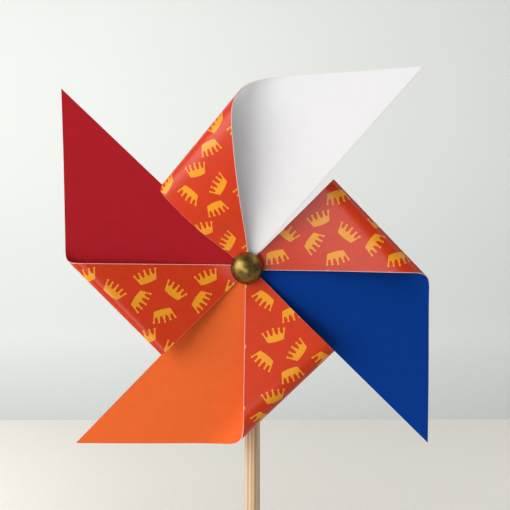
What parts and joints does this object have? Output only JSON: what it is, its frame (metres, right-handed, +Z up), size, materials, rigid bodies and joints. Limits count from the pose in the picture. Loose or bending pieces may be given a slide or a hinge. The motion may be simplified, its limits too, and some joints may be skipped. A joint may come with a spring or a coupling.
{
  "type": "pinwheel",
  "caption": "Paper pinwheel: a square sheet of card with corners curled to a domed brass nail, turning in front of a bead on a wooden stick.",
  "frame": {"origin": "centre of the stick's foot", "axes": "+Z up the stick; the wheel faces -Y and turns about an axis along Y"},
  "size_m": [0.1824, 0.0586, 0.3798],
  "materials": {
    "dowel_wood": "bare, sanded",
    "bead_wood": "bare, sanded",
    "steel": "drawn wire",
    "antique_brass": "antiqued, satin",
    "fibre_washer": "matt",
    "red_card": "printed card, matt",
    "white_card": "printed card, matt",
    "blue_card": "printed card, matt",
    "orange_card": "printed card, matt"
  },
  "bodies": {
    "stick": {"stick": "dowel_wood", "hub_pin": "steel", "hub_cap": "antique_brass", "front_washer": "fibre_washer"},
    "wheel": {"red_vane": "red_card", "white_vane": "white_card", "blue_vane": "blue_card", "orange_vane": "orange_card"},
    "bead": {"spacer_bead": "bead_wood"},
    "washer": {"rear_washer": "fibre_washer"}
  },
  "joints": [
    {"name": "wheel_spin", "type": "hinge", "parent": "stick", "child": "wheel", "pos_m": [0, -0.0185, 0.288], "axis": [0, 1, 0], "continuous": true},
    {"name": "bead_spin", "type": "hinge", "parent": "stick", "child": "bead", "pos_m": [0, -0.0107, 0.288], "axis": [0, 1, 0], "continuous": true},
    {"name": "washer_spin", "type": "hinge", "parent": "stick", "child": "washer", "pos_m": [0, -0.0177, 0.288], "axis": [0, 1, 0], "continuous": true}
  ]
}
